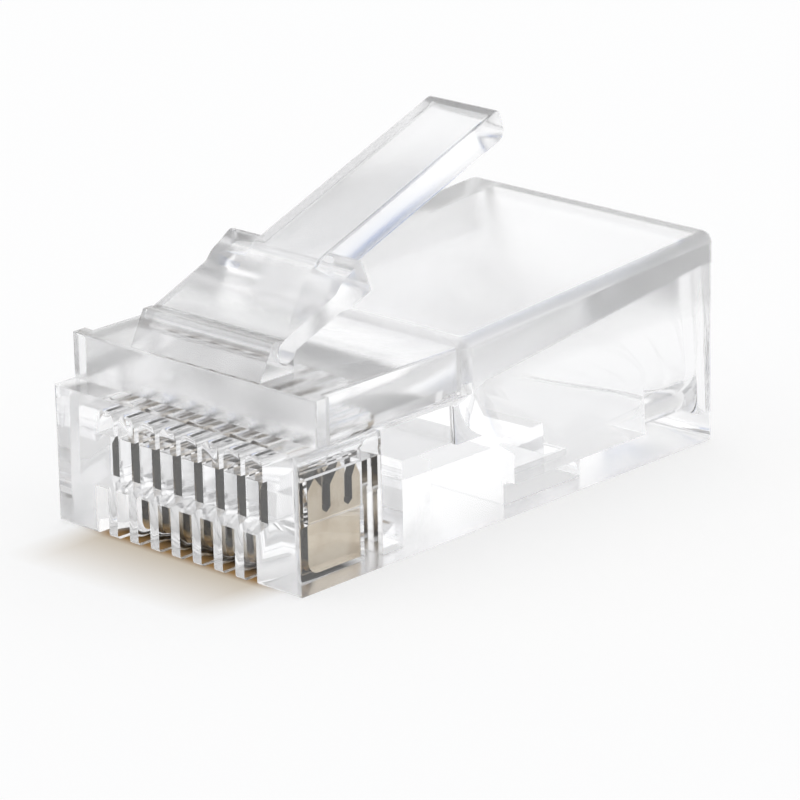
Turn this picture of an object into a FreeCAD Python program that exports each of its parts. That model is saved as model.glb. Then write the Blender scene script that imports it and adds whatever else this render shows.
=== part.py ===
import FreeCAD, Part
import os

os.makedirs("parts", exist_ok=True)

# A clear eight-position modular plug, lying belly down with its latch up.
# X runs across the plug and is its plane of symmetry, Y runs from the nose to the cable end,
# Z is up. The origin is below the middle of the plug, on the surface that it lies on.
# Lengths are millimetres. A distance is measured back from the front face of the comb.

# Outside of the housing
body_width = 11.68
body_length = 21.46
comb_height = 4.95
ledge_depth = 1.00
nose_height = 6.60
lip_thickness = 0.60
nose_side_inset = 0.35
shoulder_distance = 8.10
block_step = 0.35
roof_rise = 0.90
comb_edge_radius = 0.15
lip_edge_radius = 0.08
block_edge_radius = 0.45

# Contacts, their tines and their slots
contact_count = 8
contact_pitch = 1.02
contact_thickness = 0.35
contact_front = 1.50
contact_length = 2.50
contact_bottom = 0.12
contact_shoulder = 2.15
contact_tip = 3.50
contact_corner_radius = 0.50
tine_count = 3
tine_pitch = 1.04
tine_gap = 0.40
first_notch = 2.37
tine_point_height = 0.42
notch_height = 0.15
slot_width = 0.60
slot_front_height = 1.75
slot_rear_height = 1.97
slit_clearance = 0.03
slit_lead = 0.05
slot_rear_clearance = 0.06

# Wire channels, and the flat chamber behind them
front_wall = 0.60
channel_width = 0.80
channel_bottom = 3.55
channel_top = 4.45
chamber_bottom = 3.10
chamber_side_margin = 0.25

# Conductor clamp: a bar on a thin web, in a deep recess across the belly
recess_wall = 0.73
recess_length = 1.00
conductor_bar_gap = 0.18
conductor_bar_length = 0.60
conductor_bar_bottom = 0.15
conductor_bar_height = 0.75
conductor_bar_slope = 0.35
web_thickness = 0.25

# Cable cavity: a throat at the chamber, a ramp, a floor and a mouth with round lower corners
side_wall = 1.00
floor_thickness = 0.90
chamber_end = 8.20
throat_distance = 9.80
throat_height = 5.02
roof_wall = 1.40
ramp_top_distance = 9.50
ramp_foot_distance = 11.10
ramp_foot_height = 2.00
mouth_length = 3.40
mouth_corner_radius = 1.80

# Cable clamp: a wider bar on a thin web, in a window of the floor
window_half_width = 3.70
window_length = 4.00
cable_bar_side_gap = 0.25
cable_bar_gap = 0.40
cable_bar_length = 2.70
cable_bar_bottom = 0.60
cable_bar_top = 2.00
cable_bar_slope = 0.60

# Hinge post on the nose, with the round seat of the lever in it
post_half_width = 3.10
post_blend = 0.30
post_crest_distance = 1.80
post_rear_margin = 0.30
hinge_distance = 2.45
hinge_rise = 0.78
knuckle_radius = 0.42
knuckle_clearance = 0.05

# Latch lever, drawn level behind the hinge and then raised about it
lever_rest_angle = 20.5
strap_top = 0.48
strap_bottom = -0.20
ear_front = 2.70
ear_step = 0.40
ear_length = 1.67
ear_front_top = 0.69
ear_rear_top = 0.94
ear_bottom = -0.35
ear_edge_radius = 0.25
tail_half_width = 1.625
tail_root = 1.60
tail_slope_start = 2.40
tail_slope_end = 3.80
tail_top = 0.96
tail_bottom = -0.20
lever_reach = 13.40
tip_top_radius = 0.25
tip_bottom_radius = 0.45
tail_edge_radius = 0.10

# Values worked out from those above
half_width = body_width / 2
pattern_half_width = (contact_count - 1) * contact_pitch / 2
contact_rear = contact_front + contact_length
slot_rear = contact_rear + slot_rear_clearance
recess_front = slot_rear + recess_wall
recess_rear = recess_front + recess_length
chamber_half_width = pattern_half_width + channel_width / 2 + chamber_side_margin
cavity_half_width = half_width - side_wall
mouth_front = body_length - mouth_length
window_rear = ramp_foot_distance + window_length
block_front_height = nose_height + block_step
block_rear_height = block_front_height + roof_rise
hinge_height = nose_height + hinge_rise
post_height = hinge_height + knuckle_radius
seat_radius = knuckle_radius + knuckle_clearance

# Cutters run past the faces that they open, and joined pieces run into each other
overrun = 1.00
overlap = 0.10

# An edge lies in a plane when its ends are this near to it
plane_tolerance = 1e-5


def from_front(distance):
    """Y of the plane at a distance behind the front face of the comb."""
    return distance - body_length / 2


def block(half, front, rear, bottom, top, centre=0.0):
    """A box across the plug, between two distances and two heights."""
    corner = FreeCAD.Vector(centre - half, from_front(front), bottom)
    return Part.makeBox(2 * half, rear - front, top - bottom, corner)


def prism(outline, half, centre=0.0):
    """An outline of distances and heights, extruded across the plug."""
    points = [FreeCAD.Vector(centre - half, from_front(d), z) for d, z in outline]
    face = Part.Face(Part.makePolygon(points + points[:1]))
    return face.extrude(FreeCAD.Vector(2 * half, 0, 0))


def cross_rod(radius, half, distance, height):
    """A round bar across the plug."""
    start = FreeCAD.Vector(-half, from_front(distance), height)
    return Part.makeCylinder(radius, 2 * half, start, FreeCAD.Vector(1, 0, 0))


def long_rod(radius, front, rear, x, height):
    """A round bar along the plug."""
    start = FreeCAD.Vector(x, from_front(front), height)
    return Part.makeCylinder(radius, rear - front, start, FreeCAD.Vector(0, 1, 0))


def joined(first, *others):
    """One solid from pieces that run into each other, with no seams left in flat faces."""
    return first.fuse(list(others)).removeSplitter()


def lies_in(edge, axis, value):
    """True where both ends of an edge lie in the plane across an axis at a value."""
    return all(abs(getattr(v.Point, axis) - value) < plane_tolerance for v in edge.Vertexes)


def rounded(solid, radius, wanted):
    """The solid with a fillet on each edge that the test picks."""
    return solid.makeFillet(radius, [edge for edge in solid.Edges if wanted(edge)])


def contact_positions():
    """X of the middle of each contact, from the first position to the last."""
    return [i * contact_pitch - pattern_half_width for i in range(contact_count)]


def lower_body():
    """The comb and the floor: one long block, with its front and rear ends rounded."""
    front = from_front(0)
    rear = from_front(body_length)
    body = block(half_width, 0, body_length, 0, comb_height)
    for plane, radius in ((front, comb_edge_radius), (rear, block_edge_radius)):
        body = rounded(body, radius, lambda e: lies_in(e, "y", plane) and not lies_in(e, "z", comb_height))
    return body


def nose():
    """The upper front: a lip of full width behind the ledge, and a narrower top behind the lip."""
    lip_rear = ledge_depth + lip_thickness
    front = from_front(ledge_depth)
    lip = block(half_width, ledge_depth, lip_rear, comb_height, nose_height)
    lip = rounded(lip, lip_edge_radius, lambda e: lies_in(e, "y", front) and not lies_in(e, "z", comb_height))
    core_half = half_width - nose_side_inset
    core_rear = shoulder_distance + block_edge_radius + overlap
    core = block(core_half, lip_rear - overlap, core_rear, comb_height, nose_height)
    core = rounded(core, lip_edge_radius, lambda e: lies_in(e, "z", nose_height)
                   and (lies_in(e, "x", core_half) or lies_in(e, "x", -core_half)))
    return lip, core


def rear_block():
    """The taller rear part, whose roof rises towards the cable end."""
    outline = [(shoulder_distance, comb_height), (body_length, comb_height),
               (body_length, block_rear_height), (shoulder_distance, block_front_height)]
    body = prism(outline, half_width)
    return rounded(body, block_edge_radius, lambda e: not lies_in(e, "z", comb_height))


def hinge_post():
    """The wedge on the nose that carries the lever, with its round seat open to the rear."""
    post_rear = hinge_distance + post_rear_margin
    outline = [(ledge_depth, nose_height - post_blend), (post_crest_distance, post_height),
               (hinge_distance, post_height), (hinge_distance, hinge_height),
               (post_rear, hinge_height), (post_rear, nose_height - post_blend)]
    post = prism(outline, post_half_width)
    return post.cut(cross_rod(seat_radius, post_half_width + overrun, hinge_distance, hinge_height))


def contact_slots():
    """Cutters for each position: the open slot, the slit that grips the contact, the channel above."""
    arch_radius = channel_width / 2
    arch_height = channel_top - arch_radius
    slit_half = contact_thickness / 2 + slit_clearance
    slit_front = contact_front - slit_lead
    channel_rear = recess_front + overlap
    slot = [(-overrun, -overrun), (slot_rear, -overrun), (slot_rear, slot_rear_height),
            (contact_front, slot_rear_height), (0, slot_front_height), (-overrun, slot_front_height)]
    cutters = []
    for x in contact_positions():
        cutters.append(prism(slot, slot_width / 2, x))
        cutters.append(block(slit_half, slit_front, slot_rear, slot_rear_height - overlap,
                             channel_bottom + overlap, x))
        cutters.append(block(arch_radius, front_wall, channel_rear, channel_bottom, arch_height, x))
        cutters.append(long_rod(arch_radius, front_wall, channel_rear, x, arch_height))
    return cutters


def cable_cavity():
    """Cutter for the cavity, from the flat chamber through the throat and the ramp to the mouth."""
    roof_end = block_rear_height - roof_wall
    roof_rise = (roof_end - throat_height) / (body_length - throat_distance)
    past_mouth = body_length + overrun
    outline = [(chamber_end, channel_top), (throat_distance, throat_height),
               (past_mouth, roof_end + roof_rise * overrun), (past_mouth, floor_thickness),
               (ramp_foot_distance, floor_thickness), (ramp_foot_distance, ramp_foot_height),
               (ramp_top_distance, chamber_bottom), (chamber_end, chamber_bottom)]
    return prism(outline, cavity_half_width)


def hollows():
    """Every cutter of the housing."""
    chamber = block(chamber_half_width, recess_front, chamber_end + overlap, chamber_bottom, channel_top)
    recess = block(chamber_half_width, recess_front, recess_rear, -overrun, chamber_bottom + overlap)
    window = block(window_half_width, ramp_foot_distance, window_rear, -overrun, floor_thickness + overlap)
    return contact_slots() + [chamber, recess, window, cable_cavity()]


def mouth_corner(side):
    """The filling that rounds one lower corner of the mouth."""
    radius = mouth_corner_radius
    centre = side * (cavity_half_width - radius / 2)
    filling = block(radius / 2 + overlap, mouth_front, body_length - block_edge_radius,
                    floor_thickness - overlap, floor_thickness + radius, centre)
    inner = block(radius / 2 + overlap, mouth_front - overrun, body_length + overrun,
                  floor_thickness, floor_thickness + 2 * radius, centre - side * (radius + 2 * overlap))
    round_way = long_rod(radius, mouth_front - overrun, body_length + overrun,
                         side * (cavity_half_width - radius), floor_thickness + radius)
    return filling.cut([round_way, inner])


def conductor_clamp():
    """The bar over the wires, and the web that holds it to the rear of its recess."""
    front = recess_front + conductor_bar_gap
    rear = front + conductor_bar_length
    bottom = conductor_bar_bottom
    top = bottom + conductor_bar_height
    bar = prism([(front, bottom), (rear, bottom), (rear, top), (front, top - conductor_bar_slope)],
                chamber_half_width - conductor_bar_gap)
    web = block(chamber_half_width - conductor_bar_gap, rear - overlap, recess_rear + overlap,
                bottom, bottom + web_thickness)
    return bar, web


def cable_clamp():
    """The bar under the cable, and the web that holds it to the rear of its window."""
    front = ramp_foot_distance + cable_bar_gap
    rear = front + cable_bar_length
    half = window_half_width - cable_bar_side_gap
    bar = prism([(front, cable_bar_bottom), (rear, cable_bar_bottom), (rear, cable_bar_top),
                 (front + cable_bar_slope, cable_bar_top), (front, cable_bar_top - cable_bar_slope)], half)
    web = block(half, rear - overlap, window_rear + overlap,
                cable_bar_bottom, cable_bar_bottom + web_thickness)
    return bar, web


def housing():
    """The clear moulding: comb, nose, rear block, hinge post, hollows and both clamps."""
    solid = joined(lower_body(), *nose(), rear_block(), hinge_post())
    solid = solid.cut(hollows())
    return joined(solid, mouth_corner(-1), mouth_corner(1), *conductor_clamp(), *cable_clamp())


def lever_prism(outline, half):
    """An outline measured back and up from the hinge axis, extruded across the plug."""
    return prism([(hinge_distance + back, hinge_height + up) for back, up in outline], half)


def lever_strap():
    """The wide strap between the knuckle and the ears."""
    end = ear_front + overlap
    return lever_prism([(0, knuckle_radius), (ear_front, strap_top), (end, strap_top),
                        (end, strap_bottom), (0, strap_bottom)], post_half_width)


def lever_ears():
    """The thick shoulders whose rear faces lock in a socket."""
    ear_rear = ear_front + ear_length
    ears = lever_prism([(ear_front, strap_bottom), (ear_front, strap_top),
                        (ear_front + ear_step, ear_front_top), (ear_rear, ear_rear_top),
                        (ear_rear, ear_bottom), (ear_front + ear_step, ear_bottom)], post_half_width)
    rear = from_front(hinge_distance + ear_rear)
    return rounded(ears, ear_edge_radius, lambda e: lies_in(e, "y", rear))


def lever_tail():
    """The narrow tail that a thumb presses, with a round tip."""
    outline = [(tail_root, strap_bottom), (tail_root, 0), (tail_slope_start, strap_top - overlap),
               (tail_slope_end, tail_top), (lever_reach, tail_top), (lever_reach, tail_bottom),
               (tail_slope_end, tail_bottom)]
    tail = lever_prism(outline, tail_half_width)
    tip = from_front(hinge_distance + lever_reach)
    for up, radius in ((tail_top, tip_top_radius), (tail_bottom, tip_bottom_radius)):
        tail = rounded(tail, radius, lambda e: lies_in(e, "y", tip) and lies_in(e, "z", hinge_height + up))
    return rounded(tail, tail_edge_radius, lambda e: lies_in(e, "x", tail_half_width)
                   or lies_in(e, "x", -tail_half_width))


def latch_lever():
    """The latch in its free position, raised about the hinge."""
    knuckle = cross_rod(knuckle_radius, post_half_width, hinge_distance, hinge_height)
    lever = joined(knuckle, lever_strap(), lever_ears(), lever_tail())
    hinge = FreeCAD.Vector(0, from_front(hinge_distance), hinge_height)
    lever.rotate(hinge, FreeCAD.Vector(1, 0, 0), lever_rest_angle)
    return lever


def contact(x):
    """One contact blade: a flat edge below, pointed tines above, a round lower front corner."""
    shoulder = contact_tip - tine_point_height
    notches = [first_notch + i * tine_pitch for i in range(tine_count - 1)]
    fronts = [contact_front] + [n + tine_gap / 2 for n in notches]
    rears = [n - tine_gap / 2 for n in notches] + [contact_rear]
    outline = [(contact_front, contact_bottom), (contact_rear, contact_bottom)]
    for i in reversed(range(tine_count)):
        outline += [(rears[i], shoulder), ((fronts[i] + rears[i]) / 2, contact_tip), (fronts[i], shoulder)]
        if i > 0:
            outline += [(fronts[i], contact_shoulder + notch_height), (notches[i - 1], contact_shoulder),
                        (rears[i - 1], contact_shoulder + notch_height)]
    blade = prism(outline, contact_thickness / 2, x)
    lower_front = from_front(contact_front)
    return rounded(blade, contact_corner_radius, lambda e: lies_in(e, "y", lower_front)
                   and lies_in(e, "z", contact_bottom))


def main():
    """Writes each piece to a file of its own."""
    pieces = {"housing": housing(), "latch_lever": latch_lever()}
    for i, x in enumerate(contact_positions(), start=1):
        pieces["contact_%d" % i] = contact(x)
    for name, shape in pieces.items():
        shape.exportStep("parts/%s.step" % name)
        print(name, "solids", len(shape.Solids), "valid", shape.isValid(),
              "volume %.3f" % shape.Volume, "box", shape.BoundBox)


main()
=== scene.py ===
import math

import bmesh
import bpy
from mathutils import Matrix, Vector


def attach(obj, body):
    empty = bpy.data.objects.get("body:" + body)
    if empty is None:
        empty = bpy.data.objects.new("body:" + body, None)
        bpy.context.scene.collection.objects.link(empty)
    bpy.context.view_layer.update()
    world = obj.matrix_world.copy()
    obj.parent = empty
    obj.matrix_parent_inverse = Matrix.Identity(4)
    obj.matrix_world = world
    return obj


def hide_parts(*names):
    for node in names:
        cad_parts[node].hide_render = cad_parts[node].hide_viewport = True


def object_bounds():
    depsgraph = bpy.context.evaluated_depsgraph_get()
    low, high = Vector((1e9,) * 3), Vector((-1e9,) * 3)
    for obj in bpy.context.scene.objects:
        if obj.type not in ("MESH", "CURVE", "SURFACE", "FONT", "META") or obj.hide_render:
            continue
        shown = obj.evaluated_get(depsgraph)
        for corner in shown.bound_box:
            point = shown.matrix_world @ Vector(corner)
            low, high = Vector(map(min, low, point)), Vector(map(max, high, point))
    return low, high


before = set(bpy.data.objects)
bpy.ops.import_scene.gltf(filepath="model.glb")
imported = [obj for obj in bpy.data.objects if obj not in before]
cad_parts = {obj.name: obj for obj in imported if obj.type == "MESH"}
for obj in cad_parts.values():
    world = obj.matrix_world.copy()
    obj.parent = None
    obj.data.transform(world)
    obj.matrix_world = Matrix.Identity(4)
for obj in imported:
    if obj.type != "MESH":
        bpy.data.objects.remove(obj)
cad_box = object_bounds()

bl_info = {
    "name": "Modular plug looks",
    "version": (1, 0, 0),
    "blender": (4, 5, 0),
    "location": "View3D > Sidebar > Plug",
    "description": "Dresses the solids of a clear modular plug: moulding, latch, contacts, stage and camera",
    "category": "Object",
}

MM = 0.001
PLUG_BODY = "plug"
LATCH_BODY = "latch"
CONTACTS = sorted(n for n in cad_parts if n.startswith("contact_"))

# Sockets of the Mix node, which has one set for numbers and one for colours
NUMBER_FIRST = 2
NUMBER_SECOND = 3
NUMBER_OUT = 0
COLOUR_FIRST = 6
COLOUR_SECOND = 7
COLOUR_OUT = 2

# Patterns: cells per metre, detail, and how much finer they are along X, Y and Z
FLOW_STREAKS = (260, 3, (1.6, 0.35, 1.0))
SMEARS = (420, 4, (1, 1, 1))
SHRINKAGE = (240, 2, (1, 1, 1))
PLATING_PATCHES = (900, 3, (1, 1, 1))
ROLLING_LINES = (2400, 2, (1, 0.2, 6))
EDGE_STREAKS = (1500, 2, (1, 1, 3))

# The part of each pattern over which its effect sets in
FLOW_RANGE = (0.35, 0.7)
SMEAR_RANGE = (0.45, 0.75)
PATCH_RANGE = (0.45, 0.8)
LINE_RANGE = (0.3, 0.7)
EDGE_RANGE = (0.4, 0.75)

# Finish of the moulding
MATT_PASSAGE = 0.5 * MM
BELLY_SKIN = 0.03 * MM
BELLY_PASSAGE = 0.02 * MM
SMEAR_DULLING = 0.12

# Finish of the contacts
LINE_SMOOTHER = 0.8
LINE_ROUGHER = 1.5
LINE_DEPTH = 0.002 * MM
# Streaks in the painted shade of the stamped edges, and the faces that carry it
EDGE_STREAK_GAIN = 2.2
EDGE_FACING = 0.5

# Merging of the copied solids
MERGE_DISTANCE = 0.0005 * MM
FLAT_ANGLE = math.radians(0.6)
SHARP_ANGLE = math.radians(30)

# Painted shadow of the contacts on the floor, measured from the plug's front edge and outwards from the last
# contact
SHADOW_STEPS = (-3.6 * MM, -0.1 * MM, 0.35 * MM, 1.3 * MM, 3.2 * MM, 4.2 * MM)
SHADOW_SIDE_IN = 0.3 * MM
SHADOW_SIDE_OUT = 1.2 * MM

# Surroundings and soft box
WHITE = (1, 1, 1)
ROOM_RISE = 0.25
ROOM_RANGE = (0.5, 0.9)
WINDOW_RANGE = (0.965, 0.98)
LAMP_SIZE = 0.12
LAMP_PLACE = Vector((-0.04, 0.05, 0.16))

# Camera
IMAGE_SIZE = 800
SENSOR = 36.0
CLIP_START = 0.001
CLIP_END = 100


class PlasticLooks(bpy.types.PropertyGroup):
    """Finish of the clear moulding."""

    tint: bpy.props.FloatVectorProperty(
        name="Tint", description="Colour of light that has passed the surface",
        subtype="COLOR", size=3, min=0, max=1, default=(0.995, 0.995, 0.998))
    shade: bpy.props.FloatVectorProperty(
        name="Shade", description="Tint of the faint flow streaks in the moulding",
        subtype="COLOR", size=3, min=0, max=1, default=(0.98, 0.982, 0.988))
    refraction: bpy.props.FloatProperty(
        name="Refraction", description="Index of refraction of polycarbonate",
        min=1.0, max=2.5, default=1.585)
    polish: bpy.props.FloatProperty(
        name="Roughness", description="Roughness of the polished mould's surface",
        subtype="FACTOR", min=0, max=1, default=0.03)
    haze: bpy.props.FloatProperty(
        name="Haze", description="Roughness of the matt upper faces of the housing",
        subtype="FACTOR", min=0, max=1, default=0.22)
    haze_height: bpy.props.FloatProperty(
        name="Haze height", description="Height above the belly where the matt finish begins",
        subtype="DISTANCE", unit="LENGTH", min=0, default=4.9 * MM)
    latch_haze: bpy.props.FloatProperty(
        name="Latch haze", description="Roughness of the latch's faces",
        subtype="FACTOR", min=0, max=1, default=0.2)
    belly_haze: bpy.props.FloatProperty(
        name="Belly haze", description="Roughness of the belly, worn by what it has lain on",
        subtype="FACTOR", min=0, max=1, default=0.25)
    ripple: bpy.props.FloatProperty(
        name="Ripple", description="Height of the shrinkage ripple",
        subtype="DISTANCE", unit="LENGTH", min=0, default=0.006 * MM)


class GoldLooks(bpy.types.PropertyGroup):
    """Finish of the plated contacts, with the painted shade and painted warm reflection of the stamped
    edges.
    """

    bright: bpy.props.FloatVectorProperty(
        name="Gold", description="Colour of the plating",
        subtype="COLOR", size=3, min=0, max=1, default=(0.57, 0.50, 0.395))
    worn: bpy.props.FloatVectorProperty(
        name="Thin plating", description="Colour where the bronze shows through the plating",
        subtype="COLOR", size=3, min=0, max=1, default=(0.40, 0.32, 0.22))
    polish: bpy.props.FloatProperty(
        name="Roughness", description="Roughness of the rolled strip",
        subtype="FACTOR", min=0, max=1, default=0.14)
    # The stamped edge's colour is painted shade, near black, much darker than bare bronze
    edge: bpy.props.FloatVectorProperty(
        name="Stamped edge", description="Colour of the tarnished bronze on the stamped edges",
        subtype="COLOR", size=3, min=0, max=1, default=(0.02, 0.018, 0.013))
    # The foot's brown is a painted warm reflection low in the slots
    foot: bpy.props.FloatVectorProperty(
        name="Foot", description="Colour of the bronze at the foot of the stamped edges",
        subtype="COLOR", size=3, min=0, max=1, default=(0.62, 0.40, 0.16))
    foot_height: bpy.props.FloatProperty(
        name="Foot height", description="Height above the belly where the foot turns dark",
        subtype="DISTANCE", unit="LENGTH", min=0, default=0.5 * MM)
    edge_polish: bpy.props.FloatProperty(
        name="Edge roughness", description="Roughness of the stamped edges",
        subtype="FACTOR", min=0, max=1, default=0.3)


class StageLooks(bpy.types.PropertyGroup):
    """Floor, light and surroundings."""

    floor: bpy.props.FloatVectorProperty(
        name="Floor", description="Colour of the floor", subtype="COLOR", size=3, min=0, max=1,
        default=(0.95, 0.95, 0.95))
    floor_gap: bpy.props.FloatProperty(
        name="Air gap", description="Air between the belly and the floor that it lies on",
        subtype="DISTANCE", unit="LENGTH", min=0, default=0.04 * MM)
    floor_glow: bpy.props.FloatProperty(
        name="Floor glow", description="Share of plain white in what the camera sees of the open floor",
        subtype="FACTOR", min=0, max=1, default=0.7)
    inner_glow: bpy.props.FloatProperty(
        name="Inner glow", description="Share of plain white in what shows of the floor through the plug",
        subtype="FACTOR", min=0, max=1, default=0.62)
    # Warm, brown and dark are the colours of the painted shadow of the contacts on the floor
    warm: bpy.props.FloatVectorProperty(
        name="Warm shadow", description="Colour of the floor just ahead of the contacts", subtype="COLOR",
        size=3, min=0, max=1, default=(0.64, 0.57, 0.475))
    brown: bpy.props.FloatVectorProperty(
        name="Brown shadow", description="Colour of the floor under the front of the slots", subtype="COLOR",
        size=3, min=0, max=1, default=(0.34, 0.20, 0.08))
    dark: bpy.props.FloatVectorProperty(
        name="Dark shadow", description="Colour of the floor right under the contacts", subtype="COLOR",
        size=3, min=0, max=1, default=(0.012, 0.008, 0.005))
    shadow_half_width: bpy.props.FloatProperty(
        name="Shadow half width", description="Half the width of the shadow of the contacts",
        subtype="DISTANCE", unit="LENGTH", min=0, default=3.9 * MM)
    bounces: bpy.props.IntProperty(
        name="Bounces", description="How many surfaces a ray of light may cross", min=1, default=40)
    floor_size: bpy.props.FloatProperty(
        name="Floor size", description="Side of the square floor",
        subtype="DISTANCE", unit="LENGTH", min=0.1, default=3.0)
    sky: bpy.props.FloatProperty(
        name="Sky", description="Strength of the bright surroundings", min=0, default=1.14)
    room: bpy.props.FloatProperty(
        name="Room", description="Strength of the darker room on the camera's side", min=0, default=0.05)
    window: bpy.props.FloatVectorProperty(
        name="Window", description="Colour of the small window far to the left", subtype="COLOR",
        size=3, min=0, max=1, default=(0.07, 0.20, 0.55))
    window_way: bpy.props.FloatVectorProperty(
        name="Window direction", description="Direction in which the window lies",
        subtype="DIRECTION", size=3, default=(-0.90, -0.095, 0.42))
    lamp: bpy.props.FloatProperty(
        name="Lamp", description="Power of the overhead soft box", subtype="POWER", unit="POWER", min=0,
        default=0.02)


class CameraLooks(bpy.types.PropertyGroup):
    """Where the photograph was taken from."""

    azimuth: bpy.props.FloatProperty(
        name="Azimuth", description="Direction of the view, about the upright axis",
        subtype="ANGLE", unit="ROTATION", default=math.radians(43.645))
    elevation: bpy.props.FloatProperty(
        name="Elevation", description="Height of the view above the floor",
        subtype="ANGLE", unit="ROTATION", default=math.radians(18.507))
    roll: bpy.props.FloatProperty(
        name="Roll", description="Turn of the camera about its own axis",
        subtype="ANGLE", unit="ROTATION", default=math.radians(-1.096))
    distance: bpy.props.FloatProperty(
        name="Distance", description="Distance from the camera to the plug",
        subtype="DISTANCE", unit="LENGTH", default=159.3 * MM)
    lens: bpy.props.FloatProperty(
        name="Lens", description="Focal length on a 36 mm sensor, in millimetres", default=204.6)
    target: bpy.props.FloatVectorProperty(
        name="Target", description="Point of the plug that the view is set by",
        subtype="TRANSLATION", unit="LENGTH", size=3, default=(0, -0.73 * MM, 3.0 * MM))
    target_pixel: bpy.props.FloatVectorProperty(
        name="Target pixel", description="Where that point lies in an image of 800 by 800",
        size=2, default=(378.677, 402.334))


def new_material(name):
    """An empty node material, and its node tree."""
    material = bpy.data.materials.new(name)
    material.use_nodes = True
    material.node_tree.nodes.clear()
    return material, material.node_tree


def add_node(tree, kind, **values):
    """A node with some of its inputs or settings filled in."""
    node = tree.nodes.new(kind)
    for key, value in values.items():
        if key in node.inputs:
            node.inputs[key].default_value = value
        else:
            setattr(node, key, value)
    return node


def use_surface(tree, surface):
    """Joins a surface to the output of its material."""
    output = add_node(tree, "ShaderNodeOutputMaterial")
    tree.links.new(surface, output.inputs["Surface"])


def noise(tree, pattern):
    """A noise pattern on object coordinates."""
    cells, detail, stretch = pattern
    coordinates = add_node(tree, "ShaderNodeTexCoord")
    mapping = add_node(tree, "ShaderNodeMapping", Scale=stretch)
    texture = add_node(tree, "ShaderNodeTexNoise", Scale=cells, Detail=detail)
    tree.links.new(coordinates.outputs["Object"], mapping.inputs["Vector"])
    tree.links.new(mapping.outputs["Vector"], texture.inputs["Vector"])
    return texture.outputs["Fac"]


def object_place(tree):
    """The X, Y and Z of each point of the piece."""
    coordinates = add_node(tree, "ShaderNodeTexCoord")
    place = add_node(tree, "ShaderNodeSeparateXYZ")
    tree.links.new(coordinates.outputs["Object"], place.inputs["Vector"])
    return place.outputs


def ramp(tree, value, low, high, from_value, to_value):
    """A number that runs from from_value to to_value as another goes from low to high."""
    node = add_node(tree, "ShaderNodeMapRange")
    node.inputs["From Min"].default_value = low
    node.inputs["From Max"].default_value = high
    node.inputs["To Min"].default_value = from_value
    node.inputs["To Max"].default_value = to_value
    tree.links.new(value, node.inputs["Value"])
    return node.outputs["Result"]


def blend_colours(tree, value, low, high, first, second):
    """A colour between two plain ones, as a number goes from low to high."""
    node = add_node(tree, "ShaderNodeMix", data_type="RGBA")
    node.inputs[COLOUR_FIRST].default_value = (*first, 1)
    node.inputs[COLOUR_SECOND].default_value = (*second, 1)
    tree.links.new(ramp(tree, value, low, high, 0, 1), node.inputs["Factor"])
    return node.outputs[COLOUR_OUT]


def mix_colours(tree, share, first, second):
    """A share of a second, plain colour put over a first one."""
    node = add_node(tree, "ShaderNodeMix", data_type="RGBA")
    node.inputs[COLOUR_SECOND].default_value = (*second, 1)
    tree.links.new(share, node.inputs["Factor"])
    tree.links.new(first, node.inputs[COLOUR_FIRST])
    return node.outputs[COLOUR_OUT]


def bump(tree, height, distance):
    """A bump of a real height in metres."""
    node = add_node(tree, "ShaderNodeBump", Strength=1.0, Distance=distance)
    tree.links.new(height, node.inputs["Height"])
    return node.outputs["Normal"]


def combine(tree, operation, first, second):
    """Two numbers put together."""
    node = add_node(tree, "ShaderNodeMath", operation=operation)
    tree.links.new(first, node.inputs[0])
    tree.links.new(second, node.inputs[1])
    return node.outputs["Value"]


def height_mask(tree, height, passage):
    """0 below a height of the piece and 1 above it, with a soft passage between."""
    return ramp(tree, object_place(tree)["Z"], height - passage / 2, height + passage / 2, 0, 1)


def moulding_roughness(tree, looks, haze):
    """Polished low down, matt above a height, smeared here and there, and worn on the belly."""
    matt = height_mask(tree, looks.haze_height, MATT_PASSAGE)
    smears = ramp(tree, noise(tree, SMEARS), *SMEAR_RANGE, 0, SMEAR_DULLING)
    upper = ramp(tree, combine(tree, "ADD", matt, smears), 0, 1, looks.polish, haze)
    above_belly = height_mask(tree, BELLY_SKIN, BELLY_PASSAGE)
    belly = ramp(tree, above_belly, 0, 1, looks.belly_haze, 0)
    return combine(tree, "MAXIMUM", upper, belly)


def clear_plastic(looks, name, haze):
    """Clear polycarbonate with faint flow streaks, a shrinkage ripple and matt upper faces."""
    material, tree = new_material(name)
    shader = add_node(tree, "ShaderNodeBsdfPrincipled", IOR=looks.refraction)
    shader.inputs["Transmission Weight"].default_value = 1.0
    colour = blend_colours(tree, noise(tree, FLOW_STREAKS), *FLOW_RANGE, looks.tint, looks.shade)
    tree.links.new(colour, shader.inputs["Base Color"])
    tree.links.new(moulding_roughness(tree, looks, haze), shader.inputs["Roughness"])
    tree.links.new(bump(tree, noise(tree, SHRINKAGE), looks.ripple), shader.inputs["Normal"])
    use_surface(tree, shader.outputs["BSDF"])
    return material


def gold_plate(looks):
    """Thin gold on rolled bronze strip, with faint rolling lines and duller patches."""
    material, tree = new_material("gold_on_bronze")
    shader = add_node(tree, "ShaderNodeBsdfPrincipled", Metallic=1.0)
    colour = blend_colours(tree, noise(tree, PLATING_PATCHES), *PATCH_RANGE, looks.bright, looks.worn)
    lines = noise(tree, ROLLING_LINES)
    smooth = looks.polish * LINE_SMOOTHER
    rough = looks.polish * LINE_ROUGHER
    tree.links.new(colour, shader.inputs["Base Color"])
    tree.links.new(ramp(tree, lines, *LINE_RANGE, smooth, rough), shader.inputs["Roughness"])
    tree.links.new(bump(tree, lines, LINE_DEPTH), shader.inputs["Normal"])
    use_surface(tree, shader.outputs["BSDF"])
    return material


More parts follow.
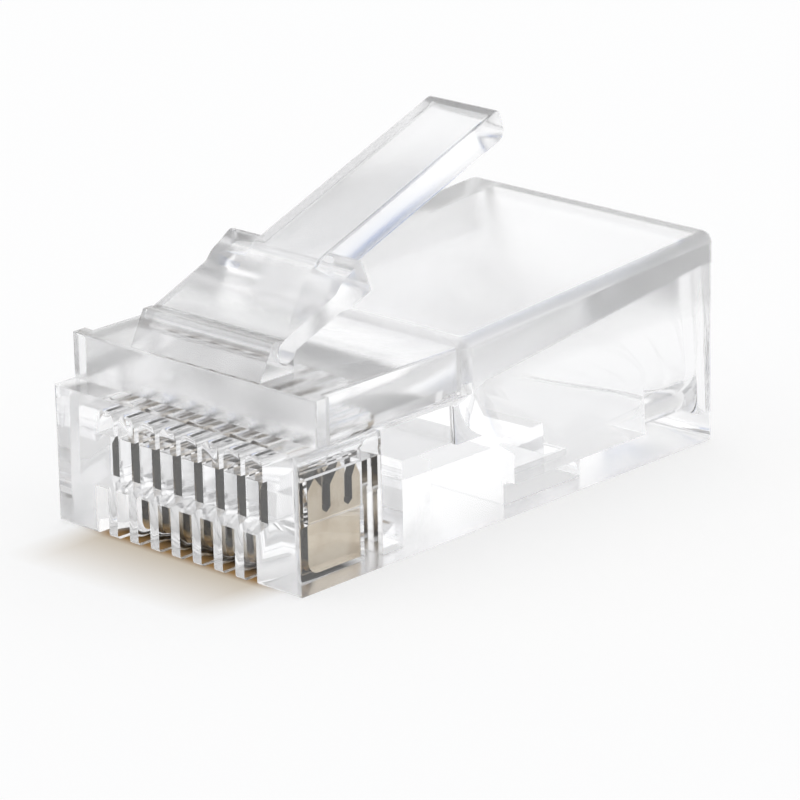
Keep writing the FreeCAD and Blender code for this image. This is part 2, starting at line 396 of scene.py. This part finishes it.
def stamped_edge(looks):
    """Streaky bronze on the front and rear edges of the blades, painted near black as the shade in the
    slots, and brown at the foot as a painted warm reflection.
    """
    material, tree = new_material("bronze_with_painted_shade")
    shader = add_node(tree, "ShaderNodeBsdfPrincipled", Metallic=1.0, Roughness=looks.edge_polish)
    lighter = [EDGE_STREAK_GAIN * part for part in looks.edge]
    streaked = blend_colours(tree, noise(tree, EDGE_STREAKS), *EDGE_RANGE, looks.edge, lighter)
    above_foot = height_mask(tree, looks.foot_height, looks.foot_height)
    at_foot = ramp(tree, above_foot, 0, 1, 1, 0)
    tree.links.new(mix_colours(tree, at_foot, streaked, looks.foot), shader.inputs["Base Color"])
    use_surface(tree, shader.outputs["BSDF"])
    return material


def dressed_copy(node, name, material, body):
    """A merged copy of a solid, which stands for it."""
    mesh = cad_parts[node].data.copy()
    form = bmesh.new()
    form.from_mesh(mesh)
    bmesh.ops.remove_doubles(form, verts=form.verts, dist=MERGE_DISTANCE)
    bmesh.ops.dissolve_limit(form, angle_limit=FLAT_ANGLE, use_dissolve_boundaries=False,
                             verts=form.verts, edges=form.edges)
    form.to_mesh(mesh)
    form.free()
    mesh.materials.clear()
    mesh.materials.append(material)
    mesh.name = name
    piece = bpy.data.objects.new(name, mesh)
    bpy.context.scene.collection.objects.link(piece)
    mesh.shade_smooth()
    mesh.set_sharp_from_angle(angle=SHARP_ANGLE)
    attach(piece, body)
    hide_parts(node)
    return piece


class PLUG_OT_housing(bpy.types.Operator):
    """Makes the clear housing from its solid"""

    bl_idname = "plug.housing"
    bl_label = "Housing"

    def execute(self, context):
        looks = context.scene.plug_plastic
        material = clear_plastic(looks, "clear_polycarbonate", looks.haze)
        dressed_copy("housing", "clear_housing", material, PLUG_BODY)
        return {"FINISHED"}


class PLUG_OT_latch(bpy.types.Operator):
    """Makes the latch lever from its solid"""

    bl_idname = "plug.latch"
    bl_label = "Latch lever"

    def execute(self, context):
        looks = context.scene.plug_plastic
        material = clear_plastic(looks, "clear_polycarbonate_latch", looks.latch_haze)
        dressed_copy("latch_lever", "clear_latch", material, LATCH_BODY)
        return {"FINISHED"}


class PLUG_OT_contacts(bpy.types.Operator):
    """Makes the contact blades from their solids"""

    bl_idname = "plug.contacts"
    bl_label = "Contacts"

    def execute(self, context):
        looks = context.scene.plug_gold
        material = gold_plate(looks)
        edge_material = stamped_edge(looks)
        for node in CONTACTS:
            name = node.replace("contact", "gold_contact")
            piece = dressed_copy(node, name, material, PLUG_BODY)
            # Faces that face the front or rear get the stamped edge material, with its painted shade and
            # painted warm reflection
            piece.data.materials.append(edge_material)
            for face in piece.data.polygons:
                face.material_index = int(abs(face.normal.y) > EDGE_FACING)
        return {"FINISHED"}


class PLUG_OT_stage(bpy.types.Operator):
    """Makes the floor, the surroundings and the soft box, and lets light cross the clear walls"""

    bl_idname = "plug.stage"
    bl_label = "Stage"

    def execute(self, context):
        looks = context.scene.plug_stage
        add_floor(looks)
        add_surroundings(context.scene, looks)
        add_soft_box(context.scene, looks)
        context.scene.cycles.max_bounces = looks.bounces
        context.scene.cycles.transmission_bounces = looks.bounces
        context.scene.cycles.glossy_bounces = looks.bounces
        return {"FINISHED"}


class PLUG_OT_camera(bpy.types.Operator):
    """Puts the camera where the photograph was taken from"""

    bl_idname = "plug.camera"
    bl_label = "Camera"

    def execute(self, context):
        place_camera(context.scene, context.scene.plug_camera)
        return {"FINISHED"}


def painted_contact_shadow(tree, looks):
    """The floor's colour with a painted shadow of the contacts: pale, warm ahead of the contacts, brown and
    then dark under them.
    """
    place = object_place(tree)
    front = cad_box[0][1]
    places = [front + step for step in SHADOW_STEPS]
    colours = (looks.floor, looks.warm, looks.brown, looks.dark, looks.dark, looks.floor)
    colour = blend_colours(tree, place["Y"], places[0], places[1], colours[0], colours[1])
    for i in range(2, len(places)):
        after = ramp(tree, place["Y"], places[i - 1], places[i], 0, 1)
        colour = mix_colours(tree, after, colour, colours[i])
    aside = add_node(tree, "ShaderNodeMath", operation="ABSOLUTE")
    tree.links.new(place["X"], aside.inputs[0])
    inner = looks.shadow_half_width - SHADOW_SIDE_IN
    outer = looks.shadow_half_width + SHADOW_SIDE_OUT
    outside = ramp(tree, aside.outputs["Value"], inner, outer, 0, 1)
    return mix_colours(tree, outside, colour, looks.floor)


def white_share(tree, looks):
    """How much plain white is put over the floor, for each kind of ray that meets it."""
    ray = add_node(tree, "ShaderNodeLightPath")
    inner = combine(tree, "MAXIMUM", ray.outputs["Is Glossy Ray"], ray.outputs["Is Transmission Ray"])
    open_share = ramp(tree, ray.outputs["Is Camera Ray"], 0, 1, 0, looks.floor_glow)
    inner_share = ramp(tree, inner, 0, 1, 0, looks.inner_glow)
    return combine(tree, "MAXIMUM", open_share, inner_share)


def floor_white(looks):
    """A pale floor that keeps its shadows and the painted shadow of the contacts, lifted towards white where
    the camera or the plug shows it.
    """
    material, tree = new_material("floor_white")
    colour = painted_contact_shadow(tree, looks)
    surface = add_node(tree, "ShaderNodeBsdfDiffuse")
    white = add_node(tree, "ShaderNodeEmission", Strength=1.0 / max(looks.floor))
    mix = add_node(tree, "ShaderNodeMixShader")
    tree.links.new(colour, surface.inputs["Color"])
    tree.links.new(colour, white.inputs["Color"])
    tree.links.new(white_share(tree, looks), mix.inputs[0])
    tree.links.new(surface.outputs["BSDF"], mix.inputs[1])
    tree.links.new(white.outputs["Emission"], mix.inputs[2])
    use_surface(tree, mix.outputs["Shader"])
    return material


def add_floor(looks):
    """A plain pale floor, just clear of the belly."""
    form = bmesh.new()
    bmesh.ops.create_grid(form, x_segments=1, y_segments=1, size=looks.floor_size / 2)
    mesh = bpy.data.meshes.new("floor")
    form.to_mesh(mesh)
    form.free()
    mesh.transform(Matrix.Translation((0, 0, -looks.floor_gap)))
    mesh.materials.append(floor_white(looks))
    floor = bpy.data.objects.new("floor", mesh)
    bpy.context.scene.collection.objects.link(floor)


def view_axes(looks):
    """Where the camera looks, and its right and up axes."""
    a = looks.azimuth
    e = looks.elevation
    forward = Vector((-math.sin(a) * math.cos(e), math.cos(a) * math.cos(e), -math.sin(e)))
    right = Vector((math.cos(a), math.sin(a), 0))
    up = right.cross(forward)
    turned_right = right * math.cos(looks.roll) + up * math.sin(looks.roll)
    turned_up = up * math.cos(looks.roll) - right * math.sin(looks.roll)
    return forward, turned_right, turned_up


def lies_towards(tree, direction):
    """How nearly each direction of the surroundings agrees with a given one."""
    coordinates = add_node(tree, "ShaderNodeTexCoord")
    agreement = add_node(tree, "ShaderNodeVectorMath", operation="DOT_PRODUCT")
    agreement.inputs[1].default_value = direction
    tree.links.new(coordinates.outputs["Generated"], agreement.inputs[0])
    return agreement.outputs["Value"]


def add_surroundings(scene, looks):
    """Bright surroundings, with a darker room on the camera's side and a small blue window."""
    world = bpy.data.worlds.new("studio")
    world.use_nodes = True
    tree = world.node_tree
    tree.nodes.clear()
    forward = view_axes(scene.plug_camera)[0]
    towards_room = lies_towards(tree, (-forward.x, -forward.y, ROOM_RISE))
    towards_window = lies_towards(tree, Vector(looks.window_way).normalized())
    colour = blend_colours(tree, towards_window, *WINDOW_RANGE, WHITE, looks.window)
    seen = add_node(tree, "ShaderNodeLightPath")
    strength = add_node(tree, "ShaderNodeMix", data_type="FLOAT")
    strength.inputs[NUMBER_SECOND].default_value = 1.0
    background = add_node(tree, "ShaderNodeBackground")
    output = add_node(tree, "ShaderNodeOutputWorld")
    light = ramp(tree, towards_room, *ROOM_RANGE, looks.sky, looks.room)
    tree.links.new(seen.outputs["Is Camera Ray"], strength.inputs["Factor"])
    tree.links.new(light, strength.inputs[NUMBER_FIRST])
    tree.links.new(strength.outputs[NUMBER_OUT], background.inputs["Strength"])
    tree.links.new(colour, background.inputs["Color"])
    tree.links.new(background.outputs["Background"], output.inputs["Surface"])
    scene.world = world


def add_soft_box(scene, looks):
    """One soft box high behind the plug."""
    lamp = bpy.data.lights.new("soft_box", "AREA")
    lamp.shape = "SQUARE"
    lamp.size = LAMP_SIZE
    lamp.energy = looks.lamp
    holder = bpy.data.objects.new("soft_box", lamp)
    holder.location = LAMP_PLACE
    holder.rotation_euler = (-LAMP_PLACE).to_track_quat("-Z", "Y").to_euler()
    scene.collection.objects.link(holder)


def place_camera(scene, looks):
    """The camera of the photograph."""
    forward, right, up = view_axes(looks)
    pixels = looks.lens / SENSOR * IMAGE_SIZE
    across = (looks.target_pixel[0] - IMAGE_SIZE / 2) / pixels * looks.distance
    down = (looks.target_pixel[1] - IMAGE_SIZE / 2) / pixels * looks.distance
    place = Vector(looks.target) - across * right + down * up - looks.distance * forward
    data = bpy.data.cameras.new("camera")
    data.lens = looks.lens
    data.sensor_width = SENSOR
    data.clip_start = CLIP_START
    data.clip_end = CLIP_END
    camera = bpy.data.objects.new("camera", data)
    axes = Matrix((right, up, -forward)).transposed()
    camera.matrix_world = Matrix.Translation(place) @ axes.to_4x4()
    scene.collection.objects.link(camera)
    scene.camera = camera


class PLUG_PT_panel(bpy.types.Panel):
    """Lists the plug's settings and steps."""

    bl_idname = "PLUG_PT_panel"
    bl_label = "Modular plug"
    bl_space_type = "VIEW_3D"
    bl_region_type = "UI"
    bl_category = "Plug"

    def draw(self, context):
        for settings in (context.scene.plug_plastic, context.scene.plug_gold,
                         context.scene.plug_stage, context.scene.plug_camera):
            box = self.layout.box()
            for name in settings.__annotations__:
                box.prop(settings, name)
        for step in STEPS:
            self.layout.operator(step.bl_idname)


SETTINGS = {"plug_plastic": PlasticLooks, "plug_gold": GoldLooks, "plug_stage": StageLooks,
            "plug_camera": CameraLooks}
STEPS = (PLUG_OT_camera, PLUG_OT_stage, PLUG_OT_housing, PLUG_OT_latch, PLUG_OT_contacts)


def register():
    for name, settings in SETTINGS.items():
        bpy.utils.register_class(settings)
        setattr(bpy.types.Scene, name, bpy.props.PointerProperty(type=settings))
    for step in STEPS:
        bpy.utils.register_class(step)
    bpy.utils.register_class(PLUG_PT_panel)


def unregister():
    bpy.utils.unregister_class(PLUG_PT_panel)
    for step in reversed(STEPS):
        bpy.utils.unregister_class(step)
    for name, settings in SETTINGS.items():
        delattr(bpy.types.Scene, name)
        bpy.utils.unregister_class(settings)


def main():
    register()
    bpy.context.scene.view_settings.view_transform = "Standard"
    for step in STEPS:
        group, action = step.bl_idname.split(".")
        getattr(getattr(bpy.ops, group), action)()


if __name__ == "__main__":
    main()
